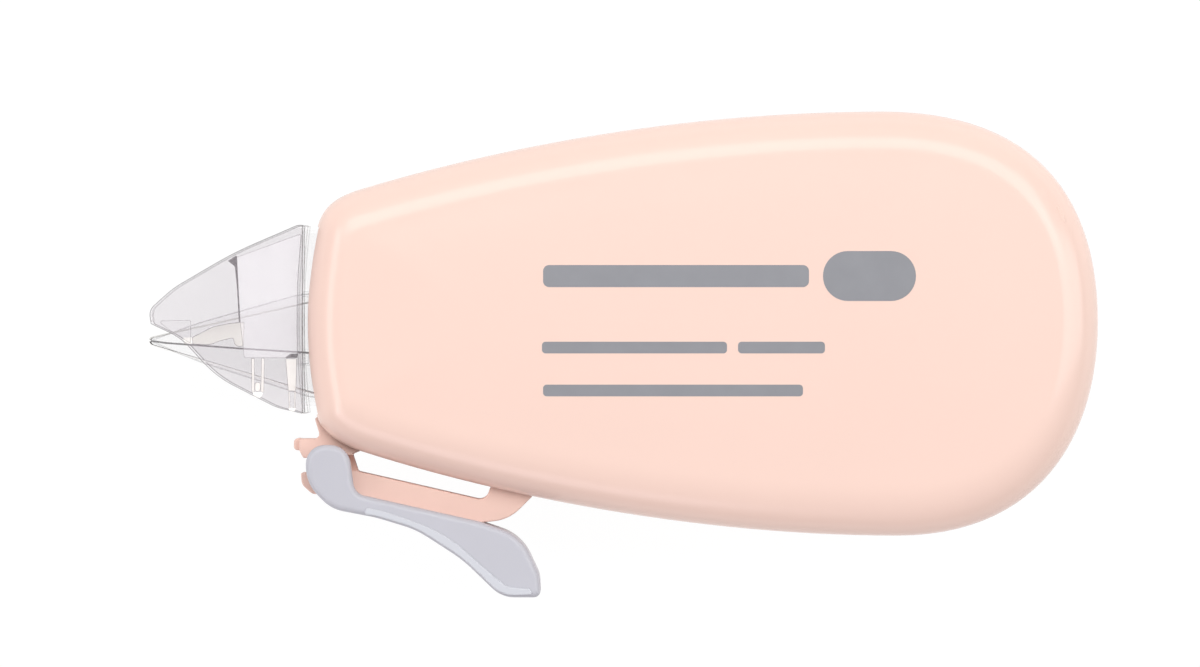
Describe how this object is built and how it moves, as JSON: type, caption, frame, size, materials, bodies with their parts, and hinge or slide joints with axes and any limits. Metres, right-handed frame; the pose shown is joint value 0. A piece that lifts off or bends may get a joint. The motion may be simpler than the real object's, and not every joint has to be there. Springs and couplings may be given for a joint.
{
  "type": "correction tape roller",
  "caption": "Handheld correction tape roller with a bean-shaped two-shell body, geared tape reels, a clear guarded applicator tip and a grey swing cap shown open.",
  "frame": {"origin": "on the flat rear face that the roller lies on, near the middle of the outline and 26 mm behind the shell's front end", "axes": "+X along the body away from the applicator tip, +Y across the flat face away from the cap, +Z through the thickness towards the printed front face"},
  "size_m": [0.0776, 0.0399, 0.015],
  "materials": {
    "glossy_pink": "glossy",
    "matte_pink": "satin",
    "grey_plastic": "satin",
    "white_nylon": "satin",
    "reel_plastic": "satin",
    "tape_white": "matte",
    "release_film": "glossy",
    "spring_steel": "bright",
    "clear_plastic": "clear, glossy",
    "smoky_grey": "translucent satin"
  },
  "bodies": {
    "case": {"rear_shell": "glossy_pink", "front_shell": "glossy_pink", "chassis_frame": "matte_pink", "gear_cover": "grey_plastic", "tape_feed": "tape_white", "film_return": "release_film", "applicator_head": "clear_plastic", "head_guard": "clear_plastic"},
    "supply_drive": {"supply_gear": "white_nylon", "clutch_washer": "spring_steel", "clutch_spring": "spring_steel", "supply_retainer": "white_nylon"},
    "supply_reel": {"supply_spool": "reel_plastic", "supply_flange": "reel_plastic", "tape_roll": "tape_white"},
    "idler": {"idler_gear": "white_nylon"},
    "takeup_reel": {"takeup_gear": "white_nylon", "takeup_spool": "reel_plastic", "takeup_flange": "reel_plastic", "film_roll": "release_film", "takeup_retainer": "white_nylon"},
    "cap": {"tip_cap": "smoky_grey"}
  },
  "joints": [
    {"name": "cap_hinge", "type": "hinge", "parent": "case", "child": "cap", "pos_m": [-0.02451, -0.00931, 0.0075], "axis": [0, 0, 1], "range_deg": [-182, 0]},
    {"name": "supply_gear_spin", "type": "hinge", "parent": "case", "child": "supply_drive", "pos_m": [0.0217, 0.0026, 0.0075], "axis": [0, 0, 1], "continuous": true},
    {"name": "reel_slip", "type": "hinge", "parent": "supply_drive", "child": "supply_reel", "pos_m": [0.0217, 0.0026, 0.0075], "axis": [0, 0, 1], "continuous": true},
    {"name": "idler_spin", "type": "hinge", "parent": "case", "child": "idler", "pos_m": [0.0017, 0.0026, 0.0025], "axis": [0, 0, 1], "continuous": true},
    {"name": "takeup_spin", "type": "hinge", "parent": "case", "child": "takeup_reel", "pos_m": [-0.0108, 0.0026, 0.0075], "axis": [0, 0, 1], "continuous": true}
  ],
  "couplings": [
    {"joint": "idler_spin", "follows": "supply_gear_spin", "ratio": -1.6667},
    {"joint": "takeup_spin", "follows": "supply_gear_spin", "ratio": 2.5}
  ]
}
